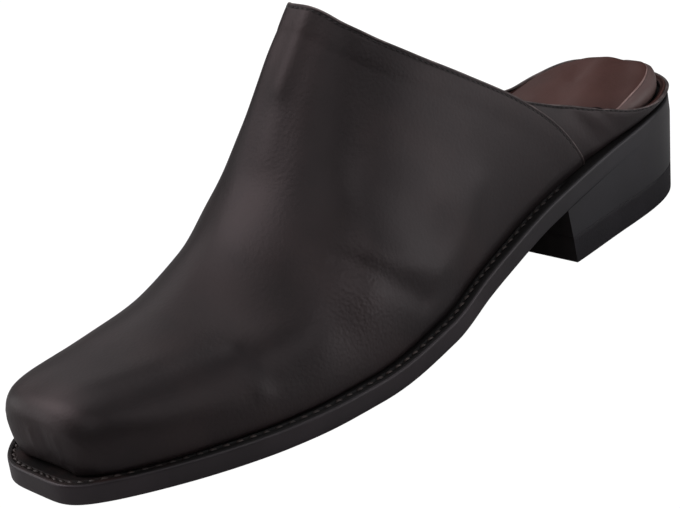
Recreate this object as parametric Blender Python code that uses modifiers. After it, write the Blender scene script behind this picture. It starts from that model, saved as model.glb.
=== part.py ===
"""Western mule, one left shoe, standing on its heel and forefoot.

Toe towards -Y, heel towards +Y, the outer (lateral) side of the foot towards +X, the floor at z = 0.
The origin is under the middle of the shoe's bounding box. Sizes below are in millimetres, and the
meshes are written in metres. Every section is worked out from the last's tables by shape-keeping
cubic interpolation, so the sole, welt, upper and insole all share one outline.
"""
import math
from functools import partial

import bmesh
import bpy
import numpy as np

MM = 0.001

# Driving dimensions, millimetres.
LENGTH = 295.0
TOE_Y = -LENGTH / 2
HEEL_Y = LENGTH / 2
GAP = 0.3                 # left between pieces that touch
OUTSOLE_THICKNESS = 4.3
WELT_THICKNESS = 2.7
WELT_WIDTH = 13.2
LIFT_HEIGHT = 10.1
BREAST_Y = 66.4           # front face of the heel, under the outsole
BREAST_SLANT = 2.4        # the breast runs back by this much towards the floor
BREAST_SKEW = 0.055       # and its lateral end stands further back
HEEL_TAPER_SIDE = 1.0
HEEL_TAPER_BACK = 3.4
UPPER_WALL = 2.4          # outer leather and lining together
UPPER_SEAT = 0.45         # the upper's lower edge stands this far over the welt

# The sole's outline: distance of each edge from the centre plane at a station y.
OUTLINE = {
    "y": (TOE_Y, -132, -102, -77, -52, -27, -2, 23, 48, 73, 98, HEEL_Y),
    "lateral": (18.7, 27.3, 38.9, 45.7, 49.2, 50.0, 48.7, 43.7, 40.7, 39.0, 36.9, 34.2),
    "medial": (-14.5, -27.4, -40.0, -47.0, -50.0, -47.6, -40.0, -32.4, -27.8, -26.0, -26.4, -27.0),
}
TOE_ROUND = 15.0          # the square toe's corners are turned within this length
TOE_POWER = 5.0
TOE_SKEW = 0.06           # the toe's front slants, its lateral corner further forward
TOE_SKEW_X = 8.8          # the slant turns about this x
TOE_SKEW_RUN = 22.0       # and dies away over this length
SEAT_ROUND = 50.0         # the heel seat is turned within this length
SEAT_POWER = 3.2

# Underside of the outsole: toe spring, flat tread under the ball, arch, and the heel seat.
TREAD_FRONT = -60.0
TREAD_BACK = -38.0
UNDERSIDE = {
    "y": (TOE_Y, -122, -92, TREAD_FRONT, TREAD_BACK, -2, 33, BREAST_Y, 110, HEEL_Y),
    "z": (6.1, 3.3, 1.1, 0.0, 0.0, 4.4, 12.6, 20.8, 26.4, 29.0),
}

# Sections of the vamp, toe to throat. "side" is where the section stands on the feather line (the
# first stands on the toe's corners), "crest" its highest point. "power" makes it boxy (high) or
# round (2).
VAMP = {
    "side": (-145, -140, -136, -130, -122, -111, -96, -79, -60, -39, -15, 14, 48, 86),
    "crest_y": (-140.6, -141.4, -141.3, -139.4, -134.5, -124.5, -108, -89.7, -71, -52.5, -36.6, -23.3, -11, 2),
    "crest_z": (14.3, 22, 28.4, 33, 36.1, 37.1, 37, 38.4, 41.8, 50.3, 64, 81.7, 99.3, 115.7),
    "crest_x": (0.5, 0.5, 0.3, -0.2, -0.6, -1.3, -1.9, -2.8, -4.3, -6.3, -8.7, -10.7, -11.2, -9.3),
    "power": (2.8, 2.8, 2.8, 2.8, 2.8, 2.65, 2.4, 2.1, 1.9, 1.9, 2.1, 2.2, 2.35, 2.45),
}
# Columns of a section: the angle round it, and how far the vamp's slanting back edge has run
# forward there, 0 at the feather line and 1 at the throat's crest.
SECTION = {
    "angle": (0, 9, 19, 32, 45, 58, 70, 80, 90),
    "back_run": (0, 0.125, 0.3, 0.545, 0.75, 0.893, 0.963, 0.98, 1),
}
BACK_EDGE_BLEND = 4.0     # the slant grows over this many sections
RIM_COLUMN = 2            # the quarter's rim meets the vamp's back edge at this column

# Sections of the quarter's wall, from the vamp's back edge to the middle of the heel. "side" is
# where the section stands on the sole's edge, "rim" is the top edge, "belly" how far the wall swells.
QUARTER = {
    "side": (94, 103, 112, 121, 130, 141, HEEL_Y),
    "rim_y": (78, 91, 104, 116, 127.5, 140.5, HEEL_Y),
    "lateral_z": (56.2, 50.4, 44.8, 40.6, 38.6, 38.5, 39.4),
    "medial_z": (52, 45.5, 40.6, 38.2, 38.9, 40, 39.4),
    "rim_inset": (7.4, 4.4, 1.8, 0.3, -0.6, -0.8, 0.1),
    "belly": (0.6, 1.0, 1.2, 1.1, 0.7, 0.4, 0.3),
}
ROWS_PER_SECTION = 3
COLUMNS_PER_SECTION = 2

# How far the upper's lower edge lies inside the sole's edge, at the edge's stations y.
FEATHER = {
    "y": (TOE_Y, -145, -141, -136, -128, -115, -100, -60, 40, 86, 118, HEEL_Y),
    "lateral": (6.5, 6.3, 4.9, 3.5, 2.9, 3.1, 3.8, 4.6, 4.2, 3.4, 1.6, 1.2),
    "medial": (6.5, 6.3, 5.3, 4.5, 4.3, 4.4, 4.5, 4.6, 4.2, 3.4, 1.6, 1.2),
}

# The insole's edge keeps these distances from the foot of the upper's lining, at its own foot, at
# its belly and at its top. Its top stands "edge" over the welt along its edge and "middle" along
# its middle line, and "tilt" raises its lateral side by that much for each millimetre.
INSOLE = {
    "y": (TOE_Y, -60, 0, 60, 100, 115, 130, 138, 142),
    "foot": (0.8, 0.8, 1.0, 1.4, 0.9, 0.7, 0.6, 0.6, 0.6),
    "belly": (0.8, 0.8, 1.0, 1.5, 1.0, -0.2, -0.8, -0.8, -0.6),
    "top": (1.0, 1.0, 1.3, 2.4, 2.4, 2.4, 2.4, 2.4, 2.4),
    "edge": (2.2, 2.4, 3.0, 4.6, 5.9, 6.8, 7.7, 8.4, 8.7),
    "middle": (3.2, 3.6, 4.6, 7.4, 9.4, 9.6, 9.6, 9.2, 8.7),
    "tilt": (0, 0, 0, 0.015, 0.035, 0.055, 0.07, 0.11, 0.115),
}
BELLY_RISE = 0.6          # height of the belly, as a share of the insole's height there
PLUG_CLEARANCE = 1.1      # between the insole's plug and the welt's inner edge

# Rows and columns of the flat pieces' grids.
DECK_COLUMNS = 8
TOE_CORNER = 0.5          # place where the toe's front row ends
SEAT_CORNER = 2.62        # place where the heel's back row ends


def cubic(xs, ys, x):
    """Shape-keeping cubic through a table: it never overshoots the table's own values."""
    xs = np.asarray(xs, float)
    ys = np.asarray(ys, float)
    h = np.diff(xs)
    slope = np.diff(ys) / h
    m = np.zeros(len(xs))
    m[0], m[-1] = slope[0], slope[-1]
    for i in range(1, len(xs) - 1):
        if slope[i - 1] * slope[i] > 0:
            w1, w2 = 2 * h[i] + h[i - 1], h[i] + 2 * h[i - 1]
            m[i] = (w1 + w2) / (w1 / slope[i - 1] + w2 / slope[i])
    x = np.clip(x, xs[0], xs[-1])
    k = np.clip(np.searchsorted(xs, x, side="right") - 1, 0, len(xs) - 2)
    t = (x - xs[k]) / h[k]
    return (ys[k] * (1 + 2 * t) * (1 - t) ** 2 + h[k] * m[k] * t * (1 - t) ** 2
            + ys[k + 1] * t * t * (3 - 2 * t) + h[k] * m[k + 1] * t * t * (t - 1))


def column(table, name, y):
    return cubic(table["y"], table[name], y)


def underside(y):
    return float(column(UNDERSIDE, "z", y))


def outsole_top(y):
    return underside(y) + OUTSOLE_THICKNESS


def welt_top(y):
    return outsole_top(y) + GAP + WELT_THICKNESS


# Places along one side's outline: 0 at the middle of the toe's front, 1 and 2 where the toe's and
# the seat's turns join the straight of the side, 3 at the middle of the heel's back.
def edge_point(side, place, inset=0.0):
    """Point (x, y) on the sole's outline, moved in from the edge by inset."""
    toe, seat = TOE_Y + TOE_ROUND, HEEL_Y - SEAT_ROUND
    if place < 1:
        angle = (1 - place) * math.pi / 2
        y = toe - (TOE_ROUND - inset) * math.sin(angle) ** (2 / TOE_POWER)
        part = math.cos(angle) ** (2 / TOE_POWER) if place > 0 else 0.0
    elif place > 2:
        angle = (place - 2) * math.pi / 2
        y = seat + (SEAT_ROUND - inset) * math.sin(angle) ** (2 / SEAT_POWER)
        part = math.cos(angle) ** (2 / SEAT_POWER) if place < 3 else 0.0
    else:
        y = toe + (seat - toe) * (place - 1)
        part = 1.0
    lateral, medial = column(OUTLINE, "lateral", y), column(OUTLINE, "medial", y)
    middle, half = (lateral + medial) / 2, (lateral - medial) / 2
    straight_y = min(max(y, toe), seat)
    slope = column(OUTLINE, side, straight_y + 0.5) - column(OUTLINE, side, straight_y - 0.5)
    x = middle + (1 if side == "lateral" else -1) * (half - inset * math.hypot(1, slope)) * part
    fade = min(max((TOE_Y + TOE_SKEW_RUN - y) / TOE_SKEW_RUN, 0), 1)
    return np.array((x, y + TOE_SKEW * (TOE_SKEW_X - x) * fade))


def place_at(y):
    """The place where an outline passes station y."""
    toe, seat = TOE_Y + TOE_ROUND, HEEL_Y - SEAT_ROUND
    if y < toe:
        depth = min((toe - y) / TOE_ROUND, 1.0)
        return 1 - math.asin(depth ** (TOE_POWER / 2)) / (math.pi / 2)
    if y > seat:
        depth = min((y - seat) / SEAT_ROUND, 1.0)
        return 2 + math.asin(depth ** (SEAT_POWER / 2)) / (math.pi / 2)
    return 1 + (y - toe) / (seat - toe)


def moved_in(line, side, place, distance):
    """Point (x, y) inside a line that runs from toe to heel, by a distance measured square to it."""
    before, after = (line(side, min(max(place + d, 0), 3)) for d in (-0.002, 0.002))
    step = (after - before) / np.linalg.norm(after - before)
    inward = np.array((-step[1], step[0])) * (1 if side == "lateral" else -1)
    return line(side, place) + inward * distance


def deck(places, line, square_front=False):
    """Grid of (x, y) points across the sole: one row for each place, from lateral to medial.

    The first row follows the line's front and the last its back, and the rows near the heel bow
    towards it. With square_front the first row is straight, as along the heel's breast.
    """
    rows = []
    across = np.linspace(1, -1, DECK_COLUMNS + 1)
    for index, place in enumerate(places):
        lateral, medial = line("lateral", place), line("medial", place)
        row = np.array([lateral * (1 + v) / 2 + medial * (1 - v) / 2 for v in across])
        toe_row = index == 0 and not square_front
        if toe_row or index == len(places) - 1:
            apex = 0.0 if toe_row else 3.0
            for i, v in enumerate(across):
                side = "lateral" if v >= 0 else "medial"
                row[i] = line(side, apex + (place - apex) * abs(v))
        elif place > 2:
            bow = 8.0 * ((place - 2) / (SEAT_CORNER - 2)) ** 2
            row[:, 1] += bow * (1 - across ** 2)
        rows.append(row)
    return rows


def sole_places(count):
    return ([*np.linspace(TOE_CORNER, 1, 4)[:-1]] + [*np.linspace(1, 2, count)] + [2.2, 2.42, SEAT_CORNER])


def with_height(grid, height):
    return [[(x, y, height(y)) for x, y in row] for row in grid]


def border(rows, columns):
    """Indices round a grid's edge."""
    return ([(0, j) for j in range(columns)] + [(i, columns - 1) for i in range(1, rows)]
            + [(rows - 1, j) for j in range(columns - 2, -1, -1)] + [(i, 0) for i in range(rows - 2, 0, -1)])


def finish_mesh(name, mesh):
    bmesh.ops.recalc_face_normals(mesh, faces=mesh.faces)
    data = bpy.data.meshes.new(name)
    mesh.to_mesh(data)
    mesh.free()
    return data


def closed_mesh(name, bottom, top, shelves=()):
    """Solid between matching grids: bottom and top skins, joined through the shelves' borders."""
    rows, columns = len(top), len(top[0])
    mesh = bmesh.new()
    low, high = ([[mesh.verts.new(np.asarray(p) * MM) for p in row] for row in grid]
                 for grid in (bottom, top))
    for i in range(rows - 1):
        for j in range(columns - 1):
            mesh.faces.new((low[i][j], low[i][j + 1], low[i + 1][j + 1], low[i + 1][j]))
            mesh.faces.new((high[i][j], high[i + 1][j], high[i + 1][j + 1], high[i][j + 1]))
    edge = border(rows, columns)
    loops = [[low[i][j] for i, j in edge]]
    loops += [[mesh.verts.new(np.asarray(grid[i][j]) * MM) for i, j in edge] for grid in shelves]
    loops.append([high[i][j] for i, j in edge])
    for below, above in zip(loops, loops[1:]):
        for k in range(len(edge)):
            n = (k + 1) % len(edge)
            mesh.faces.new((below[k], above[k], above[n], below[n]))
    return finish_mesh(name, mesh)


def make_outsole():
    """Leather outsole, with rows exactly on the ends of the flat tread."""
    flat = [place_at(y) for y in (TREAD_FRONT, TREAD_BACK)]
    places = sorted([p for p in sole_places(30) if min(abs(p - f) for f in flat) > 0.02] + flat)
    grid = deck(places, edge_point)
    return closed_mesh("outsole", with_height(grid, underside), with_height(grid, outsole_top))


def outline_ring(inset, straight=26, toe=6, seat=8):
    """Closed outline, from the toe's front middle along the lateral side and back along the medial."""
    places = [*np.linspace(0, 1, toe + 1)[:-1]] + [*np.linspace(1, 2, straight)[:-1]]
    places += [*np.linspace(2, 3, seat + 1)]
    ring = [edge_point("lateral", p, inset) for p in places]
    return ring + [edge_point("medial", p, inset) for p in places[-2:0:-1]]


def make_welt():
    """Flat ring round the whole sole."""
    outer, inner = outline_ring(0.0), outline_ring(WELT_WIDTH)
    mesh = bmesh.new()
    loops = []
    for ring, lift in ((outer, 0), (outer, WELT_THICKNESS), (inner, WELT_THICKNESS), (inner, 0)):
        loops.append([mesh.verts.new((x * MM, y * MM, (outsole_top(y) + GAP + lift) * MM)) for x, y in ring])
    for a, b in zip(loops, loops[1:] + loops[:1]):
        for i in range(len(outer)):
            k = (i + 1) % len(outer)
            mesh.faces.new((a[i], a[k], b[k], b[i]))
    return finish_mesh("welt", mesh)


def heel_grid(height_share):
    """Plan of the heel at a share of its height, 0 at the floor and 1 under the outsole."""
    low = 1 - height_share
    places = [*np.linspace(place_at(BREAST_Y), 2, 5)] + [2.14, 2.28, 2.42, 2.54, SEAT_CORNER]
    rows = []
    for row in deck(places, partial(edge_point, inset=HEEL_TAPER_SIDE * low), square_front=True):
        run = (row[:, 1] - BREAST_Y) / (HEEL_Y - BREAST_Y)
        back = -HEEL_TAPER_BACK * low * run ** 2
        front = (BREAST_SLANT * low + BREAST_SKEW * row[:, 0]) * (1 - np.minimum(run * 2, 1))
        rows.append(np.column_stack((row[:, 0], row[:, 1] + back + front)))
    return rows


def make_heel():
    bottom_share = (LIFT_HEIGHT + GAP) / underside(HEEL_Y)
    bottom = with_height(heel_grid(bottom_share), lambda y: LIFT_HEIGHT + GAP)
    return closed_mesh("heel_stack", bottom, with_height(heel_grid(1), lambda y: underside(y) - GAP))


def make_lift():
    top_share = LIFT_HEIGHT / underside(HEEL_Y)
    bottom = with_height(heel_grid(0), lambda y: 0)
    return closed_mesh("top_lift", bottom, with_height(heel_grid(top_share), lambda y: LIFT_HEIGHT))


def feather_inset(side, y):
    return float(column(FEATHER, side, y))


def foot_line(side, place):
    """Where the upper's outer face stands on the welt."""
    return moved_in(edge_point, side, place, feather_inset(side, edge_point(side, place)[1]))


def feather_point(side, place):
    """Lower edge of the upper's outer face."""
    x, y = foot_line(side, place)
    return np.array((x, y, welt_top(y) + UPPER_SEAT))


def vamp_point(side, section, col):
    """Point of the vamp's outer face: section counts from the toe, col from feather line to crest."""
    sections = np.arange(len(VAMP["side"]))
    stands = [TOE_CORNER] + [place_at(y) for y in VAMP["side"][1:]]
    base = feather_point(side, float(cubic(sections, stands, section)))
    crest_x, crest_y, crest_z, power = (
        float(cubic(sections, VAMP[name], section)) for name in ("crest_x", "crest_y", "crest_z", "power"))
    if section == 0:
        crest_z = base[2]
    cols = np.arange(len(SECTION["angle"]))
    angle = math.radians(float(cubic(cols, SECTION["angle"], col)))
    rise = math.sin(angle) ** (2 / power)
    reach = max(math.cos(angle), 0.0) ** (2 / power) if col < cols[-1] else 0.0
    slant = min(max((section - sections[-1]) / BACK_EDGE_BLEND + 1, 0), 1)
    run = rise * (1 - slant) + float(cubic(cols, SECTION["back_run"], col)) * slant
    return np.array((crest_x + (base[0] - crest_x) * reach,
                     base[1] + (crest_y - base[1]) * run,
                     base[2] + (crest_z - base[2]) * rise))


def inset_of(side, point):
    """How far a point beside the straight of a side lies inside the sole's edge."""
    x, y = point[:2]
    edge, moved = edge_point(side, place_at(y)), edge_point(side, place_at(y), 1.0)
    return (x - edge[0]) / (moved[0] - edge[0])


def quarter_point(side, section, height):
    """Point of the quarter's outer face: section 0 is the vamp's back edge, height 0 to 1 the wall."""
    last_vamp = len(VAMP["side"]) - 1
    if section == 0:
        return vamp_point(side, last_vamp, RIM_COLUMN * height)
    edge_middle, edge_rim = (vamp_point(side, last_vamp, RIM_COLUMN * share) for share in (0.5, 1))
    sections = np.arange(len(QUARTER["side"]) + 1)

    def value(first, rest):
        return float(cubic(sections, [first, *rest], section))

    stand = value(place_at(VAMP["side"][-1]), [place_at(y) for y in QUARTER["side"]])
    base = feather_point(side, stand)
    over = value(place_at(edge_rim[1]), [place_at(y) for y in QUARTER["rim_y"]])
    inset = value(inset_of(side, edge_rim), QUARTER["rim_inset"])
    rim = np.array((*edge_point(side, over, inset), value(edge_rim[2], QUARTER[side + "_z"])))
    seat_inset = feather_inset(side, base[1])
    ends = feather_inset(side, VAMP["side"][-1]) + inset_of(side, edge_rim)
    first_swell = ends / 2 - inset_of(side, edge_middle)
    swell = value(first_swell, QUARTER["belly"])
    belly = np.array((*edge_point(side, (stand + over) / 2, (seat_inset + inset) / 2 - swell),
                      (base[2] + rim[2]) / 2))
    t = height
    return base * (1 - t) * (1 - 2 * t) + belly * 4 * t * (1 - t) + rim * t * (2 * t - 1)


def make_upper():
    """Outer face of vamp and quarter as one open sheet of four-sided faces."""
    mesh = bmesh.new()
    crest = (len(SECTION["angle"]) - 1) * COLUMNS_PER_SECTION
    rim = RIM_COLUMN * COLUMNS_PER_SECTION
    rows = []
    for row in range((len(VAMP["side"]) - 1) * ROWS_PER_SECTION + 1):
        section = row / ROWS_PER_SECTION
        lateral, medial = ([vamp_point(side, section, k / COLUMNS_PER_SECTION) for k in range(crest + 1)]
                           for side in ("lateral", "medial"))
        rows.append([mesh.verts.new(p * MM) for p in lateral + medial[-2::-1]])
    for front, back in zip(rows, rows[1:]):
        for k in range(2 * crest):
            mesh.faces.new((front[k], front[k + 1], back[k + 1], back[k]))
    count = len(QUARTER["side"]) * ROWS_PER_SECTION
    heel_middle = [mesh.verts.new(quarter_point("lateral", len(QUARTER["side"]), k / rim) * MM)
                   for k in range(rim + 1)]
    for side in ("lateral", "medial"):
        front = rows[-1][:rim + 1] if side == "lateral" else rows[-1][-1:-rim - 2:-1]
        for row in range(1, count + 1):
            back = heel_middle
            if row < count:
                section = row / ROWS_PER_SECTION
                back = [mesh.verts.new(quarter_point(side, section, k / rim) * MM) for k in range(rim + 1)]
            for k in range(rim):
                mesh.faces.new((front[k], front[k + 1], back[k + 1], back[k]))
            front = back
    return finish_mesh("upper", mesh)


def pad_line(level, side, place):
    """Edge of the padded insole at its foot, belly or top."""
    clearance = float(column(INSOLE, level, edge_point(side, place)[1]))
    return moved_in(foot_line, side, place, UPPER_WALL + clearance)


def make_insole():
    """Padded insole: a plug that fills the space inside the welt, under a crowned pad."""
    places = sole_places(22)
    plug = deck(places, partial(edge_point, inset=WELT_WIDTH + PLUG_CLEARANCE))
    foot, belly, top = (deck(places, partial(pad_line, level)) for level in ("foot", "belly", "top"))
    across = np.linspace(1, -1, DECK_COLUMNS + 1)
    rises = []
    for row in top:
        middle = row[DECK_COLUMNS // 2][0]
        rises.append([float(column(INSOLE, "edge", y)) * u * u + float(column(INSOLE, "middle", y)) * (1 - u * u)
                      + float(column(INSOLE, "tilt", y)) * (x - middle) for (x, y), u in zip(row, across)])

    def lifted(grid, share):
        return [[(x, y, welt_top(y) + GAP + rise * share) for (x, y), rise in zip(row, row_rises)]
                for row, row_rises in zip(grid, rises)]

    shelves = [lifted(plug, 0), lifted(foot, 0), lifted(belly, BELLY_RISE)]
    return closed_mesh("insole", with_height(plug, lambda y: outsole_top(y) + GAP), lifted(top, 1), shelves)


def material(name, colour, roughness):
    made = bpy.data.materials.new(name)
    made.use_nodes = True
    shader = made.node_tree.nodes["Principled BSDF"]
    shader.inputs["Base Color"].default_value = (*colour, 1)
    shader.inputs["Roughness"].default_value = roughness
    shader.inputs["Metallic"].default_value = 0.0
    return made


def add(data, name, colour, roughness, collection):
    thing = bpy.data.objects.new(name, data)
    collection.objects.link(thing)
    data.materials.append(material(name, colour, roughness))
    return thing


def main():
    for old in list(bpy.data.objects):
        bpy.data.objects.remove(old, do_unlink=True)
    shoe = bpy.data.collections.new("western_mule")
    bpy.context.scene.collection.children.link(shoe)
    add(make_outsole(), "outsole", (0.010, 0.008, 0.008), 0.35, shoe)
    add(make_welt(), "welt", (0.012, 0.009, 0.009), 0.45, shoe)
    add(make_heel(), "heel_stack", (0.014, 0.012, 0.012), 0.30, shoe)
    add(make_lift(), "top_lift", (0.010, 0.010, 0.010), 0.70, shoe)
    add(make_insole(), "insole", (0.090, 0.050, 0.045), 0.60, shoe)
    upper = add(make_upper(), "upper", (0.020, 0.015, 0.015), 0.50, shoe)
    upper.data.shade_smooth()
    wall = upper.modifiers.new("wall", "SOLIDIFY")
    wall.thickness = UPPER_WALL * MM
    wall.offset = -1
    wall.use_even_offset = True


main()
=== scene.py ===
import math

import bmesh
import bpy
import numpy as np
from mathutils import Matrix, Vector
from mathutils.bvhtree import BVHTree


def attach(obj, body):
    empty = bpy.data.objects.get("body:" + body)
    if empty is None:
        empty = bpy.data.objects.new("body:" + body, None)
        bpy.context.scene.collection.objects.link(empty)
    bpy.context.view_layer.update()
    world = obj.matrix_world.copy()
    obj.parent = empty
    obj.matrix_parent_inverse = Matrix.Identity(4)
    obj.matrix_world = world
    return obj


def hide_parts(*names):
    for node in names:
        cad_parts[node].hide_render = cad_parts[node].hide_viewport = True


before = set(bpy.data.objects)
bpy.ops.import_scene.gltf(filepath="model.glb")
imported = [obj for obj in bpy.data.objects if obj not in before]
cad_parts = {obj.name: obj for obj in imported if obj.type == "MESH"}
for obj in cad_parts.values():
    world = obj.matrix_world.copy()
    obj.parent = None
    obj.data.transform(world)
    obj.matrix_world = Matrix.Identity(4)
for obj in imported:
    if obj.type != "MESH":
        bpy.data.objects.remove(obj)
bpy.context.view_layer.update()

# ---------------------------------------------------------------------------------------------
# Outsole. A cut leather sole, blacked and waxed on its edge, sewn through the welt. It springs
# up at the toe, lies flat under the ball and rises through the waist to the heel seat. All the
# pieces share its outline, so the outline and the way of lofting a piece are worked out here.
MM = 0.001
TOE_Y, HEEL_Y = -147.5, 147.5
SOLE = 4.6
BREAST_Y = 66.4
TOE_ROUND, TOE_POWER = 15.0, 5.0
TOE_SKEW, TOE_SKEW_X, TOE_SKEW_RUN = 0.06, 8.8, 22.0
SEAT_ROUND, SEAT_POWER = 50.0, 3.2
TOE_BEND, SEAT_BEND = TOE_Y + TOE_ROUND, HEEL_Y - SEAT_ROUND
SPINE_FROM_TOE, SPINE_FROM_HEEL = 24, 32
EDGE_ROUND_AT_HEEL, EDGE_ROUND_MORE = 0.12, 0.25
RETURN = slice(-2, 0, -1)  # the medial side's places, from the heel back to the toe
OUTLINE = {
    "y": (TOE_Y, -132, -102, -77, -52, -27, -2, 23, 48, 73, 98, HEEL_Y),
    "lateral": (18.7, 27.3, 38.9, 45.7, 49.2, 50.0, 48.7, 43.7, 40.7, 39.0, 36.9, 34.2),
    "medial": (-14.5, -27.4, -40.0, -47.0, -50.0, -47.6, -40.0, -32.4, -27.8, -26.0, -26.4, -27.0),
}
UNDERSIDE = {
    "y": (TOE_Y, -122, -92, -60, -38, -2, 33, BREAST_Y, 110, HEEL_Y),
    "z": (6.1, 3.3, 1.1, 0.0, 0.0, 4.4, 12.6, 20.8, 26.4, 29.0),
}


def cubic(xs, ys, x):
    """Shape-keeping cubic through a table."""
    xs, ys = np.asarray(xs, float), np.asarray(ys, float)
    h = np.diff(xs)
    slope = np.diff(ys) / h
    m = np.concatenate((slope[:1], np.zeros(len(xs) - 2), slope[-1:]))
    for i in range(1, len(xs) - 1):
        if slope[i - 1] * slope[i] > 0:
            w1, w2 = 2 * h[i] + h[i - 1], h[i] + 2 * h[i - 1]
            m[i] = (w1 + w2) / (w1 / slope[i - 1] + w2 / slope[i])
    x = np.clip(x, xs[0], xs[-1])
    k = np.clip(np.searchsorted(xs, x, side="right") - 1, 0, len(xs) - 2)
    t = (x - xs[k]) / h[k]
    return (ys[k] * (1 + 2 * t) * (1 - t) ** 2 + h[k] * m[k] * t * (1 - t) ** 2
            + ys[k + 1] * t * t * (3 - 2 * t) + h[k] * m[k + 1] * t * t * (t - 1))


def smooth(low, high, x):
    t = np.clip((np.asarray(x, float) - low) / (high - low), 0, 1)
    return t * t * (3 - 2 * t)


def underside(y):
    return cubic(UNDERSIDE["y"], UNDERSIDE["z"], y)


def edge_x(side, y):
    return cubic(OUTLINE["y"], OUTLINE[side], y)


def middle_x(y):
    return (edge_x("lateral", y) + edge_x("medial", y)) / 2


def edge(side, place, inset=0.0):
    """Points (x, y) inside the sole's edge. Place runs 0 at the toe's middle, 1 to 2 along the
    straight of the side, 3 at the middle of the heel's back."""
    place = np.asarray(place, float)
    toe_turn = np.clip(1 - place, 0, 1) * math.pi / 2
    seat_turn = np.clip(place - 2, 0, 1) * math.pi / 2
    y = (TOE_BEND + (SEAT_BEND - TOE_BEND) * np.clip(place - 1, 0, 1)
         - (TOE_ROUND - inset) * np.sin(toe_turn) ** (2 / TOE_POWER)
         + (SEAT_ROUND - inset) * np.sin(seat_turn) ** (2 / SEAT_POWER))
    part = (np.cos(toe_turn) ** (2 / TOE_POWER)) * (np.cos(seat_turn) ** (2 / SEAT_POWER))
    lateral, medial = edge_x("lateral", y), edge_x("medial", y)
    straight = np.clip(y, TOE_BEND, SEAT_BEND)
    slope = edge_x(side, straight + 0.5) - edge_x(side, straight - 0.5)
    reach = ((lateral - medial) / 2 - inset * np.hypot(1, slope)) * part
    x = (lateral + medial) / 2 + (reach if side == "lateral" else -reach)
    fade = np.clip((TOE_Y + TOE_SKEW_RUN - y) / TOE_SKEW_RUN, 0, 1)
    return np.stack((x, y + TOE_SKEW * (TOE_SKEW_X - x) * fade), -1)


def place_at(y):
    y = np.asarray(y, float)
    before, after = (np.arcsin(np.clip(past / size, 0, 1) ** (power / 2)) / (math.pi / 2)
                     for past, size, power in ((TOE_BEND - y, TOE_ROUND, TOE_POWER),
                                               (y - SEAT_BEND, SEAT_ROUND, SEAT_POWER)))
    return 1 + np.clip((y - TOE_BEND) / (SEAT_BEND - TOE_BEND), 0, 1) - before + after


def even_places(step, first=0.0, last=3.0):
    """Places along a side, about step apart on the sole's edge."""
    fine = np.linspace(first, last, 4000)
    steps = np.linalg.norm(np.diff(edge("lateral", fine), axis=0), axis=1)
    run = np.concatenate(([0], np.cumsum(steps)))
    return np.interp(np.linspace(0, run[-1], max(2, round(run[-1] / step) + 1)), run, fine)


ROUND = even_places(1.5)
ROUND_Y = edge("lateral", ROUND)[:, 1]


def ring(inset=0.0):
    """Closed outline, up the lateral side and back down the medial side. The inset is a number
    or one for each place of ROUND."""
    inset = np.broadcast_to(inset, ROUND.shape)
    return np.concatenate((edge("lateral", ROUND, inset),
                           edge("medial", ROUND[RETURN], inset[RETURN])))


def spine():
    """The middle line that every ring can close onto."""
    y = np.clip(ring()[:, 1], TOE_Y + SPINE_FROM_TOE, HEEL_Y - SPINE_FROM_HEEL)
    return np.stack((middle_x(y), y), -1)


def raised(points, height):
    """Points (x, y) at a height over the sole's underside."""
    return np.column_stack((points, underside(points[:, 1]) + height))


def make(name, points, faces, sharp=35):
    """A mesh object from points in millimetres, facing out and riding on the shoe. Edges that
    turn by more than sharp degrees stay crisp."""
    mesh = bmesh.new()
    verts = [mesh.verts.new(p) for p in np.asarray(points, float) * MM]
    for face in faces:
        mesh.faces.new([verts[i] for i in face])
    bmesh.ops.remove_doubles(mesh, verts=mesh.verts, dist=0.000002)
    bmesh.ops.dissolve_degenerate(mesh, edges=mesh.edges, dist=0.000001)
    bmesh.ops.recalc_face_normals(mesh, faces=mesh.faces)
    data = bpy.data.meshes.new(name)
    mesh.to_mesh(data)
    mesh.free()
    data.shade_smooth()
    data.set_sharp_from_angle(angle=math.radians(sharp))
    piece = bpy.data.objects.new(name, data)
    bpy.context.scene.collection.objects.link(piece)
    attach(piece, "root")
    return piece


def loft(name, loops, joined=False, caps="", sharp=35):
    """A solid through closed loops of equal length. A joined one closes on itself, and caps
    names the ends that get a flat face."""
    count = len(loops[0])
    faces = []
    for a in range(len(loops) if joined else len(loops) - 1):
        b = (a + 1) % len(loops)
        for i in range(count):
            k = (i + 1) % count
            faces.append((a * count + i, a * count + k, b * count + k, b * count + i))
    if "first" in caps:
        faces.append(tuple(range(count))[::-1])
    if "last" in caps:
        faces.append(tuple(range((len(loops) - 1) * count, len(loops) * count)))
    return make(name, np.concatenate(loops), faces, sharp)


def face_with(piece, finish_made, faces):
    """Gives some faces of a piece another finish than its own."""
    piece.data.materials.append(finish_made)
    for number in faces:
        piece.data.polygons[number].material_index = len(piece.data.materials) - 1


rounding = EDGE_ROUND_AT_HEEL + EDGE_ROUND_MORE * (1 - smooth(BREAST_Y - 10, BREAST_Y - 1, ROUND_Y))
rounding_all = np.concatenate((rounding, rounding[RETURN]))
loops = [raised(spine(), 0.0)] + [raised(ring(inset), 0.0) for inset in (11, 5, 2)]
for turn in np.radians((0, 22, 45, 68, 90)):
    loops.append(raised(ring(rounding * (1 - math.sin(turn))), rounding_all * (1 - math.cos(turn))))
loops += [raised(ring(), height) for height in (1.8, 2.8, 3.8, SOLE)]
loops += [raised(ring(inset), SOLE) for inset in (2, 11)] + [raised(spine(), SOLE)]
outsole = loft("outsole_leather", loops)
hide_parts("outsole")


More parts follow.
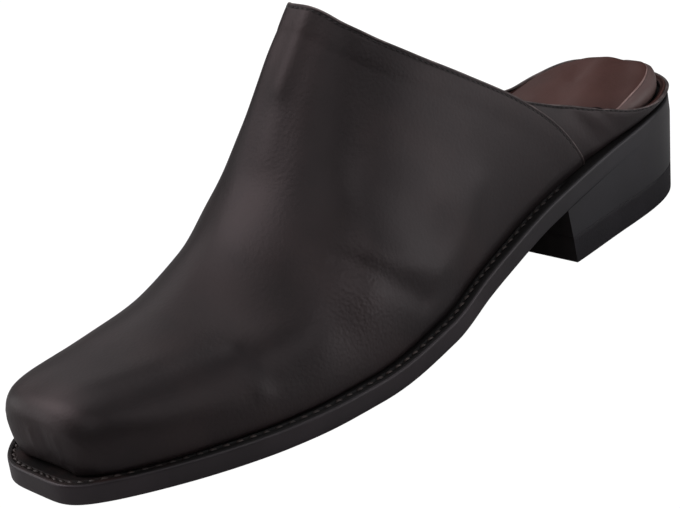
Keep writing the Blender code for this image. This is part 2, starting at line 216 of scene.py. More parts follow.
class Shade:
    """A socket in a material's node tree. Python sums of it add Math nodes."""

    def __init__(self, tree, socket=None):
        self.tree, self.socket = tree, socket

    def node(self, kind, settings=None, sockets=None, out=0):
        made = self.tree.nodes.new(kind)
        for name, value in (settings or {}).items():
            setattr(made, name, value)
        for name, value in (sockets or {}).items():
            if isinstance(value, Shade):
                self.tree.links.new(value.socket, made.inputs[name])
            else:
                made.inputs[name].default_value = value
        return Shade(self.tree, made.outputs[out])

    def math(self, operation, *values):
        return self.node("ShaderNodeMath", {"operation": operation}, dict(enumerate(values)))

    def __add__(self, other):
        return self.math("ADD", self, other)

    def __rsub__(self, other):
        return self.math("SUBTRACT", other, self)

    def __mul__(self, other):
        return self.math("MULTIPLY", self, other)

    __radd__, __rmul__ = __add__, __mul__

    def axis(self, index):
        return self.node("ShaderNodeSeparateXYZ", sockets={"Vector": self}, out=index)

    def between(self, low, high):
        """0 below low, 1 above high, smooth in between."""
        return self.node("ShaderNodeMapRange", {"interpolation_type": "SMOOTHSTEP"},
                         {"Value": self, "From Min": low, "From Max": high})

    def spot(self, x, y, z, radius):
        """1 at a point given in millimetres, 0 at a radius away."""
        far = self.node("ShaderNodeVectorMath", {"operation": "DISTANCE"},
                        {0: self, 1: (x * MM, y * MM, z * MM)}, out=1)
        return 1 - far.between(0, radius * MM)

    def tint(self, base, colour):
        """The colour base, turned to colour by this mask."""
        return self.node("ShaderNodeMix", {"data_type": "RGBA"},
                         {0: self, 6: base, 7: colour}, out=2)

    def noise(self, scale, detail=3.0, rough=0.5, stretch=(1, 1, 1), shift=(0, 0, 0)):
        where = self.node("ShaderNodeMapping",
                          sockets={"Vector": self, "Scale": stretch, "Location": shift})
        return self.node("ShaderNodeTexNoise", sockets={"Vector": where, "Scale": scale,
                                                        "Detail": detail, "Roughness": rough})

    def cells(self, scale):
        return self.node("ShaderNodeTexVoronoi", {"feature": "SMOOTH_F1"},
                         {"Vector": self, "Scale": scale})


def finish(name, roughness=0.5, specular=0.5):
    """A new material: itself, its shader and the position on the piece in metres."""
    made = bpy.data.materials.new(name)
    made.use_nodes = True
    shader = made.node_tree.nodes["Principled BSDF"]
    shader.inputs["Roughness"].default_value = roughness
    shader.inputs["Specular IOR Level"].default_value = specular
    where = Shade(made.node_tree).node("ShaderNodeTexCoord", out=3)
    return made, shader, where


def connect(shader, where, colour, height, roughness=None):
    """Links what varies over a surface. Height is in metres and turns into a normal."""
    bumped = where.node("ShaderNodeBump",
                        sockets={"Strength": 1.0, "Distance": 1.0, "Height": height})
    for name, value in (("Base Color", colour), ("Roughness", roughness), ("Normal", bumped)):
        if value is not None:
            where.tree.links.new(value.socket, shader.inputs[name])


def rgb(red, green, blue):
    """A colour of the real finish, given in everyday 0 to 255 steps."""
    return tuple(((v / 255 + 0.055) / 1.055) ** 2.4 if v > 10 else v / 255 / 12.92
                 for v in (red, green, blue)) + (1,)


edge_black, shader, where = finish("waxed_edge", specular=0.6)
shader.inputs["Specular Tint"].default_value = (1.0, 0.94, 0.98, 1)
streak = where.noise(160, detail=2, stretch=(1, 1, 0.3))
cloud = where.noise(38, detail=4)
at_heel = where.axis(1).between(0.02, 0.08)
plum = cloud.between(0.35, 0.7).tint(rgb(34, 29, 32), rgb(47, 40, 44))
slate = cloud.between(0.35, 0.7).tint(rgb(27, 27, 30), rgb(38, 38, 42))
connect(shader, where, colour=at_heel.tint(plum, slate), roughness=0.3 + cloud * 0.2,
        height=streak * 0.00004 + where.noise(900, detail=2) * 0.00002)
outsole.data.materials.append(edge_black)

# ---------------------------------------------------------------------------------------------
# Welt. A black leather strip that lies on the outsole all round and carries the outsole's seam:
# one row of waxed thread in a groove that ends at the heel. Its top outer edge is bevelled.
WELT_TOP = SOLE + 2.7
WELT_WIDTH = 13.2
BEVEL = ((0.06, -0.8), (0.25, -0.5), (0.55, -0.26), (0.9, -0.1), (1.3, -0.02), (1.6, 0.0))
GROOVE = {
    "y": (TOE_Y, -125, -100, -60, -20, 20, 50, 90),
    "inset": (2.6, 3.3, 3.7, 3.1, 2.7, 3.4, 3.9, 3.9),
}
GROOVE_CUT = ((-0.9, 0.05), (-0.6, 0.4), (-0.3, 0.66), (0.3, 0.66), (0.6, 0.4), (0.9, 0.05))
GROOVE_END = 74.0
PITCH = {
    "y": (TOE_Y, -125, -80, -20, 18, 52, 90),
    "run": (3.2, 4.6, 4.8, 4.2, 3.75, 4.1, 4.1),
}
LEAN = 0.4


def welt_top(y):
    return underside(y) + WELT_TOP


groove_inset = cubic(GROOVE["y"], GROOVE["inset"], ROUND_Y)
open_groove = 1 - smooth(GROOVE_END - 6, GROOVE_END + 4, ring()[:, 1])
under_loops = [raised(ring(inset), SOLE) for inset in (WELT_WIDTH, 5)]
side_loops = [raised(ring(), SOLE + height) for height in (0, 0.7, 1.4)]
loops = under_loops + side_loops
loops += [raised(ring(inset), WELT_TOP + height) for inset, height in BEVEL]
loops += [raised(ring(groove_inset + out), WELT_TOP - depth * open_groove)
          for out, depth in GROOVE_CUT]
loops += [raised(ring(inset), WELT_TOP) for inset in (5.4, 7.5, 10, WELT_WIDTH)]
welt = loft("welt_strip", loops, joined=True)
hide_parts("welt")

welt_black, shader, where = finish("welt_leather", specular=0.35)
cloud = where.noise(45, detail=4)
at_toe = 1 - where.axis(1).between(-0.145, -0.09)
toe_brown = where.noise(70, detail=3).between(0.42, 0.7) * at_toe
connect(shader, where, colour=toe_brown.tint(rgb(15, 12, 13), rgb(50, 36, 35)),
        roughness=0.5 + cloud * 0.24, height=where.noise(700, detail=3) * 0.00008)
welt.data.materials.append(welt_black)
first, last = len(under_loops), len(under_loops) + len(side_loops) + 2
face_with(welt, edge_black, range(first * len(ring()), last * len(ring())))


def stitches(name, rows, length, width):
    """Thread lengths along rows of (line, up, pitch, lean), as one mesh. Each one dips at its ends
    into its holes, and leans across the row by a share of its length."""
    points, faces = [], []
    sides, stations, proud, dip, flat = 6, 7, 0.1, 0.5, 0.8
    for line, up, pitch, lean in rows:
        steps = np.linalg.norm(np.diff(line, axis=0), axis=1)
        run = np.concatenate(([0], np.cumsum(steps)))
        turns = np.concatenate(([0], np.cumsum(steps / np.broadcast_to(pitch, len(line))[1:])))
        for at in np.interp(np.arange(0.5, turns[-1] - 0.5), turns, run):
            middle, ahead, top = (np.array([np.interp(place, run, values[:, k]) for k in range(3)])
                                  for place, values in ((at, line), (at + 0.3, line), (at, up)))
            forward = (ahead - middle) / np.linalg.norm(ahead - middle)
            across = np.cross(forward, top)
            forward += lean * across / np.linalg.norm(across)
            forward /= np.linalg.norm(forward)
            across = np.cross(forward, top)
            across /= np.linalg.norm(across)
            top = np.cross(across, forward)
            start = len(points)
            for t in np.linspace(-1, 1, stations):
                fat = width / 2 * math.sqrt(max(1 - t ** 4, 0.03))
                centre = (middle + forward * t * length / 2
                          + top * width * (proud - dip * abs(t) ** 2.5))
                for turn in np.arange(sides) * 2 * math.pi / sides:
                    points.append(centre + across * fat * math.cos(turn)
                                  + top * fat * flat * math.sin(turn))
            for s in range(start, start + (stations - 1) * sides, sides):
                for k in range(sides):
                    n = (k + 1) % sides
                    faces.append((s + k, s + n, s + n + sides, s + k + sides))
            faces.append(tuple(range(start, start + sides))[::-1])
            faces.append(tuple(range(start + (stations - 1) * sides, start + stations * sides)))
    return make(name, points, faces, sharp=60)


seam_places = even_places(1.0, 0.0, float(place_at(GROOVE_END)))
rows = []
for side, lean in (("lateral", LEAN), ("medial", -LEAN)):
    y = edge(side, seam_places)[:, 1]
    line = raised(edge(side, seam_places, cubic(GROOVE["y"], GROOVE["inset"], y)), WELT_TOP - 0.3)
    upward = np.tile((0, 0, 1.0), (len(line), 1))
    rows.append((line, upward, cubic(PITCH["y"], PITCH["run"], y), lean))
welt_seam = stitches("welt_seam", rows, length=2.7, width=1.0)

thread, shader, where = finish("waxed_thread", roughness=0.42, specular=0.5)
age = where.noise(60, detail=2).between(0.4, 0.7)
connect(shader, where, colour=age.tint(rgb(52, 44, 43), rgb(84, 72, 69)),
        height=where.noise(1500, detail=1) * 0.0001)
welt_seam.data.materials.append(thread)

# ---------------------------------------------------------------------------------------------
# Heel stack. Layers of sole leather glued and nailed into a block, shaved flush with the
# outsole's edge and burnished black. It tapers a little to the back, and its breast is square.
HEEL_HIGH = UNDERSIDE["z"][-1]
LIFT = 10.1
LIFT_SHARE = LIFT / HEEL_HIGH
BREAST_SLANT, BREAST_SKEW, BREAST_STEPS = 2.4, 0.055, 29
TAPER_SIDE, TAPER_BACK = 1.0, 3.4
HEEL_PLACES = even_places(1.4, float(place_at(BREAST_Y)))


def heel_plan(share, inset=0.0, spread=1.0):
    """Outline of the heel at a share of its height, 0 on the floor and 1 under the outsole, drawn
    in by inset. A spread below 1 squeezes it onto its middle line."""
    low = 1 - share
    taper = TAPER_SIDE * low + inset
    lateral = edge("lateral", HEEL_PLACES, taper)
    medial = edge("medial", HEEL_PLACES[-2::-1], taper)
    breast = np.linspace(medial[-1], lateral[0], BREAST_STEPS + 1)[1:-1]
    x, y = np.concatenate((lateral, medial, breast)).T
    x = middle_x(y) + (x - middle_x(y)) * spread
    run = (y - BREAST_Y) / (HEEL_Y - BREAST_Y)
    front = (BREAST_SLANT * low + BREAST_SKEW * x + inset) * (1 - np.minimum(run * 2, 1))
    return np.stack((x, y - TAPER_BACK * low * run ** 2 + front), -1)


def heel_loop(share, z, inset=0.0):
    plan = heel_plan(share, inset)
    return np.column_stack((plan, np.broadcast_to(z, len(plan))))


def breast_faces(rows):
    """Numbers of the breast's faces, in some of the rows between a heel piece's loops."""
    around = len(heel_plan(1.0))
    return [row * around + place for row in rows for place in range(around - BREAST_STEPS, around)]


LAP = 0.1  # how far the block reaches into the outsole, so that no gap shows
loops = [heel_loop(LIFT_SHARE, LIFT + rise, inset)
         for rise, inset in ((0.0, 0.3), (0.08, 0.08), (0.25, 0.0))]
for part in np.linspace(0.05, 1, 12):
    plan = heel_plan(LIFT_SHARE + (1 - LIFT_SHARE) * part)
    loops.append(np.column_stack((plan, LIFT + (underside(plan[:, 1]) + LAP - LIFT) * part)))
wall_rows = range(len(loops) - 1)
for spread in (0.6, 0.0):
    plan = heel_plan(1.0, spread=spread)
    loops.append(np.column_stack((plan, underside(plan[:, 1]) + LAP)))
heel_stack = loft("heel_block", loops, caps="first")
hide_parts("heel_stack")

heel_stack.data.materials.append(edge_black)
# The breasts of the block and of the lift have a duller finish. Their darker colour is also painted
# shade for the shadow under the arch.
breast_dull_and_shaded, shader, where = finish("dull_breast_with_painted_shade", roughness=0.65, specular=0.3)
cloud = where.noise(60, detail=3)
connect(shader, where, colour=cloud.between(0.4, 0.7).tint(rgb(25, 19, 20), rgb(35, 27, 28)),
        height=where.noise(240, detail=3) * 0.0001)
face_with(heel_stack, breast_dull_and_shaded, breast_faces(wall_rows))

# ---------------------------------------------------------------------------------------------
# Top lift. A matt black rubber tread, glued and nailed under the heel and cut to its outline.
LIFT_ROUND = ((0.0, 1.2), (0.0, 0.4), (0.1, 0.14), (0.3, 0.02))
loops = [heel_loop(0.0, z, inset) for z, inset in LIFT_ROUND]
loops += [heel_loop(z / HEEL_HIGH, z) for z in (0.9, 2.5, 4.5, 6.5, 8.5, LIFT - 0.3)]
loops += [heel_loop(LIFT_SHARE, LIFT, 0.2)]
top_lift = loft("rubber_lift", loops, caps="first last")
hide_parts("top_lift")

rubber, shader, where = finish("tread_rubber", specular=0.35)
cloud = where.noise(50, detail=3)
connect(shader, where, colour=cloud.between(0.4, 0.75).tint(rgb(28, 25, 30), rgb(39, 35, 41)),
        roughness=0.52 + cloud * 0.2, height=where.noise(1300, detail=2) * 0.00006)
top_lift.data.materials.append(rubber)
face_with(top_lift, breast_dull_and_shaded, breast_faces(range(len(LIFT_ROUND) - 1, len(loops) - 1)))

# ---------------------------------------------------------------------------------------------
# Footbed. A foam pad in soft brown leather fills the shoe from toe to heel, over a cork filler
# inside the welt. A thin brown leather sock is glued on top of it. Its cut edge is coloured
# pale, partly as a raw cut edge and partly as painted highlight.
WALL = 2.4
FEATHER = {
    "y": (TOE_Y, -145, -141, -136, -128, -115, -100, -60, 40, 86, 118, HEEL_Y),
    "lateral": (6.5, 6.3, 4.9, 3.5, 2.9, 3.1, 3.8, 4.6, 4.2, 3.4, 1.6, 1.2),
    "medial": (6.5, 6.3, 5.3, 4.5, 4.3, 4.4, 4.5, 4.6, 4.2, 3.4, 1.6, 1.2),
}
PAD = {
    "y": (TOE_Y, -60, 0, 60, 100, 115, 130, 138, 142),
    "foot": (0.8, 0.8, 1.0, 1.4, 0.9, 0.7, 0.6, 0.6, 0.6),
    "belly": (0.8, 0.8, 1.0, 1.5, 1.0, -0.2, -0.8, -0.8, -0.6),
    "top": (1.0, 1.0, 1.3, 2.4, 2.4, 2.4, 2.4, 2.4, 2.4),
    "edge": (2.2, 2.4, 3.0, 4.6, 5.9, 6.8, 7.7, 8.4, 8.7),
    "middle": (3.2, 3.6, 4.6, 7.4, 9.4, 9.6, 9.6, 9.2, 8.7),
    "tilt": (0, 0, 0, 0.015, 0.035, 0.055, 0.07, 0.11, 0.115),
}
PLUG_INSET = 14.3
CLEAR = 0.1
SWELL = 0.3


def feather(side, y):
    return cubic(FEATHER["y"], FEATHER[side], y)


def inner_edge(side, place, inset):
    """Points inside the sole's edge by an inset measured square to it."""
    place = np.asarray(place, float)
    step = edge(side, place + 0.002) - edge(side, np.maximum(place - 0.002, 0))
    step /= np.linalg.norm(step, axis=-1, keepdims=True)
    inward = np.stack((-step[..., 1], step[..., 0]), -1) * (1 if side == "lateral" else -1)
    return edge(side, place) + inward * np.asarray(inset)[..., None]


def gap_at(level):
    """How far the pad's edge keeps from the foot of the lining, at its foot, belly or top."""
    return cubic(PAD["y"], PAD[level], ROUND_Y)


def pad_loop(gap, share=1.0, rise=1.0, lift=0.0):
    """A loop round the pad, at a share of the way from its middle line to its edge."""
    outer = np.concatenate([
        inner_edge(side, ROUND[part], (feather(side, ROUND_Y) + WALL + gap)[part])
        for side, part in (("lateral", slice(None)), ("medial", RETURN))])
    middle = spine()
    plan = middle * (1 - share) + outer * share
    edge_height, middle_height, tilt = (cubic(PAD["y"], PAD[name], plan[:, 1])
                                        for name in ("edge", "middle", "tilt"))
    height = (edge_height * share ** 2 + middle_height * (1 - share ** 2)
              + tilt * (plan[:, 0] - middle[:, 0]))
    return raised(plan, WELT_TOP + height * rise + lift)


loops = [raised(spine(), SOLE + CLEAR), raised(ring(PLUG_INSET), SOLE + CLEAR),
         raised(ring(PLUG_INSET), WELT_TOP + CLEAR),
         pad_loop(gap_at("foot") + 0.6, rise=0, lift=CLEAR)]
for turn in np.radians((-60, -35, -10, 12, 34, 56, 76)):
    near = gap_at("foot" if turn < 0 else "top")
    gap = gap_at("belly") + (near - gap_at("belly")) * (1 - math.cos(turn)) + SWELL
    loops.append(pad_loop(gap, rise=0.6 + (0.55 if turn < 0 else 0.4) * math.sin(turn)))
loops += [pad_loop(gap_at("top") + SWELL, share, lift=-SWELL)
          for share in (0.97, 0.9, 0.8, 0.6, 0.4, 0.2, 0.0)]
pad = loft("foam_pad", loops)


HELD_ABOVE_WELT = 0.0012  # metres
PUFF_FRAMES = 20


def puff(piece, voxel, pressure, most):
    """Cloth under pressure, its underside held. No point moves by more than most millimetres,
    and a voxel is in millimetres too."""
    bpy.context.view_layer.objects.active = piece
    cut = piece.modifiers.new("cut", "REMESH")
    cut.mode, cut.voxel_size, cut.use_smooth_shade = "VOXEL", voxel * MM, True
    bpy.ops.object.modifier_apply(modifier=cut.name)
    mesh = piece.data
    before = np.array([v.co for v in mesh.vertices])
    held = piece.vertex_groups.new(name="held")
    low = before[:, 2] < welt_top(before[:, 1] / MM) * MM + HELD_ABOVE_WELT
    held.add(np.nonzero(low)[0].tolist(), 1.0, "REPLACE")
    cloth = piece.modifiers.new("cloth", "CLOTH")
    cloth.settings.use_pressure = True
    cloth.settings.uniform_pressure_force = pressure
    cloth.settings.effector_weights.gravity = 0
    cloth.settings.vertex_group_mass = "held"
    cloth.settings.quality = 5
    for number in range(1, PUFF_FRAMES + 1):
        bpy.context.scene.frame_set(number)
    bpy.ops.object.modifier_apply(modifier=cloth.name)
    bpy.context.scene.frame_set(1)
    after = np.array([v.co for v in mesh.vertices])
    move = after - before
    far = np.linalg.norm(move, axis=1, keepdims=True)
    after = before + move * np.minimum(1, most * MM / np.maximum(far, 1e-9))
    mesh.vertices.foreach_set("co", after.astype(np.float32).ravel())
    piece.vertex_groups.clear()
    mesh.update()


puff(pad, voxel=2.2, pressure=4.0, most=0.6)
rounder = pad.modifiers.new("rounder", "SUBSURF")
rounder.levels = rounder.render_levels = 1
bpy.context.view_layer.objects.active = pad
bpy.ops.object.modifier_apply(modifier=rounder.name)
pad.data.shade_smooth()
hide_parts("insole")


def near_line(points, line):
    """Distance of points from a line through a few points, all in millimetres."""
    points, line = np.asarray(points, float), np.asarray(line, float)
    best = np.full(points.shape[:-1], 1e9)
    for a, b in zip(line, line[1:]):
        t = np.clip(((points - a) @ (b - a)) / ((b - a) @ (b - a)), 0, 1)
        best = np.minimum(best, np.linalg.norm(points - a - t[..., None] * (b - a), axis=-1))
    return best


SOCK = 0.9
RAY_FROM = 0.09  # metres, above the whole pad
# Each fold: the points (x, y) that it runs through, its half width and its height.
SOCK_FOLDS = (
    (((24, 92), (10, 116), (0, 138)), 4.5, 0.8),
    (((28, 112), (18, 126), (10, 139)), 4.0, -0.7),
    (((26, 76), (10, 102), (-4, 130)), 4.5, -0.7),
    (((10, 74), (-8, 104)), 6.0, 0.5),
)
tree = BVHTree.FromObject(pad, bpy.context.evaluated_depsgraph_get())


def on_pad(points, lift, over=None):
    """Points (x, y) laid on the pad at a height over it. The pad's height is taken there, or at
    the points over, which keeps the sock's edge level where the pad rounds off under it."""
    laid = []
    for (x, y), (u, v) in zip(points, points if over is None else over):
        hit = tree.ray_cast(Vector((u * MM, v * MM, RAY_FROM)), Vector((0, 0, -1)))[0]
        laid.append((x, y, hit.z / MM if hit else welt_top(v) + 6))
    laid = np.array(laid)
    if over is not None:
        laid[1:-1, 2] = (laid[:-2, 2] + laid[1:-1, 2] * 2 + laid[2:, 2]) / 4
    fold = sum(depth * np.exp(-(near_line(laid[:, :2], line) / wide) ** 2)
               for line, wide, depth in SOCK_FOLDS)
    laid[:, 2] += lift + fold
    return laid


tops = [pad_loop(gap_at("top") + 0.4, share)[:, :2]
        for share in (1.0, 0.985, 0.96, 0.9, 0.8, 0.65, 0.45, 0.25, 0)]
rim, flat = tops[0], tops[2]
GLUE, ROLL = 0.05, 0.3
lid = [on_pad(rim, SOCK - ROLL, flat), on_pad(tops[1], SOCK - ROLL / 2, flat)]
lid += [on_pad(plan, SOCK) for plan in tops[2:]]
loops = [on_pad(tops[-1], GLUE), on_pad(tops[3], GLUE), on_pad(rim, GLUE - ROLL, flat)]
outward = rim - tops[1]
outward /= np.linalg.norm(outward, axis=1, keepdims=True)
for rise, out in ((0.25, 0.22), (0.5, 0.3), (0.75, 0.22)):
    bulge = on_pad(rim, rise * SOCK - ROLL, flat)
    bulge[:, :2] += outward * out
    loops.append(bulge)
sock = loft("sock_lining", loops + lid, sharp=60)

lining_brown, shader, where = finish("lining_leather", specular=0.4)
cloud = where.noise(28, detail=4)
pores = where.noise(900, detail=2)
connect(shader, where, colour=cloud.between(0.3, 0.7).tint(rgb(76, 49, 45), rgb(96, 64, 59)),
        roughness=0.38 + cloud * 0.16,
        height=pores * 0.00005 + where.noise(240, detail=3) * 0.00012)
sock.data.materials.append(lining_brown)

# The sock's cut edge is paler leather and also a painted highlight, where the edge catches the
# light.
pale_edge_and_highlight, shader, where = finish("sock_edge_pale_and_highlight", specular=0.4)
cloud = where.noise(300, detail=3)
connect(shader, where, colour=cloud.between(0.3, 0.7).tint(rgb(150, 122, 118), rgb(178, 150, 146)),
        roughness=0.5 + cloud * 0.3, height=cloud * 0.0001)
face_with(sock, pale_edge_and_highlight, [face.index for face in sock.data.polygons if abs(face.normal.z) < 0.8])

# The pad is paler than the sock. This is partly a lighter leather and partly painted highlight for
# the light that its side catches at the heel.
pad_leather_and_highlight, shader, where = finish("pad_leather_and_highlight", specular=0.5)
cloud = where.noise(40, detail=4)
connect(shader, where, colour=cloud.between(0.3, 0.7).tint(rgb(108, 88, 86), rgb(124, 102, 99)),
        roughness=0.42 + cloud * 0.16, height=where.noise(500, detail=3) * 0.00008)
pad.data.materials.append(pad_leather_and_highlight)

# ---------------------------------------------------------------------------------------------
# Quarter. The low back part of the upper, one piece of black cowhide from seam to seam round the
# heel. Its front ends run under the vamp, and its top edge is turned over the lining and sewn.
SEAT = 0.45
VAMP = {
    "side": (-145, -140, -136, -130, -122, -111, -96, -79, -60, -39, -15, 14, 48, 86),
    "crest_x": (0.5, 0.5, 0.3, -0.2, -0.6, -1.3, -1.9, -2.8, -4.3, -6.3, -8.7, -10.7, -11.2, -9.3),
    "crest_y": (-140.6, -141.4, -141.3, -139.4, -134.5, -124.5, -108,
                -89.7, -71, -52.5, -36.6, -23.3, -11, 2),
    "crest_z": (14.3, 22, 28.4, 33, 36.1, 37.1, 37, 38.4, 41.8, 50.3, 64, 81.7, 99.3, 115.7),
    "power": (2.8, 2.8, 2.8, 2.8, 2.8, 2.65, 2.4, 2.1, 1.9, 1.9, 2.1, 2.2, 2.35, 2.45),
}
SECTION = {
    "angle": (0, 9, 19, 32, 45, 58, 70, 80, 90),
    "back_run": (0, 0.125, 0.3, 0.545, 0.75, 0.893, 0.963, 0.98, 1),
}
BACK = len(VAMP["side"]) - 1
CREST = len(SECTION["angle"]) - 1
TOE_MIDDLE = 0.5  # the place on the sole's edge of the vamp's first section
SLANTED = 4  # sections that lean back with the vamp's edge
RIM_COLUMN = 2
QUARTER = {
    "side": (94, 103, 112, 121, 130, 141, HEEL_Y),
    "rim_y": (78, 91, 104, 116, 127.5, 140.5, HEEL_Y),
    "lateral": (56.2, 50.4, 44.8, 40.6, 38.6, 38.5, 39.4),
    "medial": (52, 45.5, 40.6, 38.2, 38.9, 40, 39.4),
    "rim_inset": (7.4, 4.4, 1.8, 0.3, -0.6, -0.8, 0.1),
    "belly": (0.6, 1.0, 1.2, 1.1, 0.7, 0.4, 0.3),
}
HEEL = len(QUARTER["side"])
LEATHER = 1.3


def foot(side, place):
    """Lower edge of the upper, on the welt."""
    plan = inner_edge(side, place, feather(side, edge(side, place)[..., 1]))
    return np.concatenate((plan, (welt_top(plan[..., 1]) + SEAT)[..., None]), -1)


def vamp_face(side, section, column):
    """Points of the vamp's outer face: sections from toe to throat, columns from foot to crest."""
    section, column = np.broadcast_arrays(np.asarray(section, float), np.asarray(column, float))
    numbers, columns = np.arange(BACK + 1), np.arange(CREST + 1)
    base = foot(side, cubic(numbers, [TOE_MIDDLE, *place_at(VAMP["side"][1:])], section))
    crest = [cubic(numbers, VAMP[name], section) for name in ("crest_x", "crest_y", "crest_z")]
    power = cubic(numbers, VAMP["power"], section)
    angle = np.radians(cubic(columns, SECTION["angle"], column))
    rise = np.sin(angle) ** (2 / power)
    reach = np.where(column < CREST, np.cos(angle).clip(0) ** (2 / power), 0)
    slant = np.clip((section - BACK) / SLANTED + 1, 0, 1)
    run = rise * (1 - slant) + cubic(columns, SECTION["back_run"], column) * slant
    shares = (1 - reach, run, rise)
    return np.stack([base[..., k] + (crest[k] - base[..., k]) * shares[k] for k in range(3)], -1)


def quarter_face(side, section, height):
    """Points of the quarter's outer face: sections from the vamp's edge to the middle of the
    heel, height 0 to 1 up the wall."""
    section, height = np.broadcast_arrays(np.asarray(section, float), np.asarray(height, float))
    numbers = np.arange(HEEL + 1)
    middle, rim = vamp_face(side, BACK, RIM_COLUMN / 2), vamp_face(side, BACK, RIM_COLUMN)

    def inside(point):
        """How far a point lies inside the sole's edge."""
        outer, moved = (edge(side, place_at(point[1]), inset)[0] for inset in (0.0, 1.0))
        return (point[0] - outer) / (moved - outer)

    def value(first, rest):
        return cubic(numbers, [first, *rest], section)

    stand = value(place_at(VAMP["side"][-1]), place_at(QUARTER["side"]))
    base = foot(side, stand)
    over = value(place_at(rim[1]), place_at(QUARTER["rim_y"]))
    inset = value(inside(rim), QUARTER["rim_inset"])
    top = np.concatenate((edge(side, over, inset), value(rim[2], QUARTER[side])[..., None]), -1)
    first_swell = (feather(side, VAMP["side"][-1]) + inside(rim)) / 2 - inside(middle)
    swell = value(first_swell, QUARTER["belly"])
    bulge = edge(side, (stand + over) / 2, (feather(side, base[..., 1]) + inset) / 2 - swell)
    belly = np.concatenate((bulge, ((base + top) / 2)[..., 2:]), -1)
    t = height[..., None]
    return base * (1 - t) * (1 - 2 * t) + belly * 4 * t * (1 - t) + top * t * (2 * t - 1)


def normals(grid, inner):
    """Unit normals of a grid of points, away from the point inner."""
    along, across = np.gradient(grid, axis=0), np.gradient(grid, axis=1)
    normal = np.cross(along, across)
    normal /= np.linalg.norm(normal, axis=-1, keepdims=True)
    middle = tuple(n // 2 for n in grid.shape[:2])
    facing = np.sign(normal[middle] @ (grid[middle] - inner))
    return normal * facing


def outwards(grid):
    """Directions in the sheet, pointing out over each of its borders."""
    out = np.zeros_like(grid)
    for here, inner in (((0,), (1,)), ((-1,), (-2,)), ((slice(None), 0), (slice(None), 1)),
                        ((slice(None), -1), (slice(None), -2))):
        step = grid[here] - grid[inner]
        out[here] += step / np.linalg.norm(step, axis=-1, keepdims=True)
    size = np.linalg.norm(out, axis=-1, keepdims=True)
    return out / np.where(size > 0, size, 1)


EDGE_ANGLES = (36, 72, 108, 144)
TUCK_IN, TUCK_DOWN, TUCK_ENDS = 0.8, 0.55, (-118, 125)


def leather_sheet(name, grid, inner, thick, turn, start=0.0):
    """A closed sheet whose round edges bulge by turn. Its outer face lies start below the grid,
    and inner is a point on its hollow side."""
    normal, out = normals(grid, inner), outwards(grid)
    rows, columns = grid.shape[:2]
    ring_ids = [(0, j) for j in range(columns)] + [(i, columns - 1) for i in range(1, rows)]
    ring_ids += [(rows - 1, j) for j in range(columns - 2, -1, -1)]
    ring_ids += [(i, 0) for i in range(rows - 2, 0, -1)]
    on_edge = np.zeros((rows, columns, 1))
    for i, j in ring_ids:
        on_edge[i, j] = 1
    middle = grid - normal * (start + thick / 2) - out * on_edge * turn
    points = np.concatenate(((middle + normal * thick / 2).reshape(-1, 3),
                             (middle - normal * thick / 2).reshape(-1, 3)))
    points, half = list(points), rows * columns
    faces = []
    for i in range(rows - 1):
        for j in range(columns - 1):
            a = i * columns + j
            faces.append((a, a + 1, a + columns + 1, a + columns))
            faces.append((half + a, half + a + columns, half + a + columns + 1, half + a + 1))
    loops = [[i * columns + j for i, j in ring_ids]]
    for angle in np.radians(EDGE_ANGLES):
        loops.append(list(range(len(points), len(points) + len(ring_ids))))
        for i, j in ring_ids:
            points.append(middle[i, j] + normal[i, j] * thick / 2 * math.cos(angle)
                          + out[i, j] * turn * math.sin(angle))
    loops.append([half + i * columns + j for i, j in ring_ids])
    for above, below in zip(loops, loops[1:]):
        for k in range(len(ring_ids)):
            n = (k + 1) % len(ring_ids)
            faces.append((above[k], below[k], below[n], above[n]))
    return make(name, points, faces, sharp=50)


def border_faces(grid, first, last):
    """Numbers of a leather sheet's edge faces, between two places round its border."""
    rows, columns = grid.shape[:2]
    start, around = 2 * (rows - 1) * (columns - 1), 2 * (rows + columns) - 4
    return [start + strip * around + k
            for strip in range(len(EDGE_ANGLES) + 1) for k in range(first, last)]


def tuck(grid, edge_index):
    """Turns a lower edge of a grid in under the shoe, towards the line between TUCK_ENDS."""
    lower = grid[edge_index]
    middle = np.zeros_like(lower)
    middle[..., 1] = np.clip(lower[..., 1], *TUCK_ENDS)
    step = middle - lower * (1, 1, 0)
    step /= np.linalg.norm(step, axis=-1, keepdims=True)
    grid[edge_index] = lower + step * TUCK_IN - (0, 0, TUCK_DOWN)


UNDER_STEP = 0.12


def wall_heights(length, tops, steps):
    """Heights up a wall of that length, close together near the top edge."""
    tops = np.array(tops) * min(1.0, length / (tops[-1] * 1.3))
    low = np.linspace(0, 1 - tops[-1] / length, steps + 1)[:-1]
    return np.concatenate((low, 1 - tops[::-1] / length))


def quarter_rows(step, tops, steps, under=0.6):
    """The quarter's grid round the heel from seam to seam, with its ends running under the vamp."""
    rows = []
    for side in ("lateral", "medial"):
        part = []
        for section in np.arange(BACK - under, BACK - 0.01, UNDER_STEP):
            wall = vamp_face(side, section, RIM_COLUMN) - vamp_face(side, section, 0)
            heights = wall_heights(np.linalg.norm(wall), tops, steps)
            part.append(vamp_face(side, section, RIM_COLUMN * heights))
        for section in np.arange(0, HEEL + 1e-6, step):
            wall = quarter_face(side, section, 1.0) - quarter_face(side, section, 0.0)
            heights = wall_heights(np.linalg.norm(wall), tops, steps)
            part.append(quarter_face(side, section, heights))
        rows += part if side == "lateral" else part[-2::-1]
    return np.array(rows)


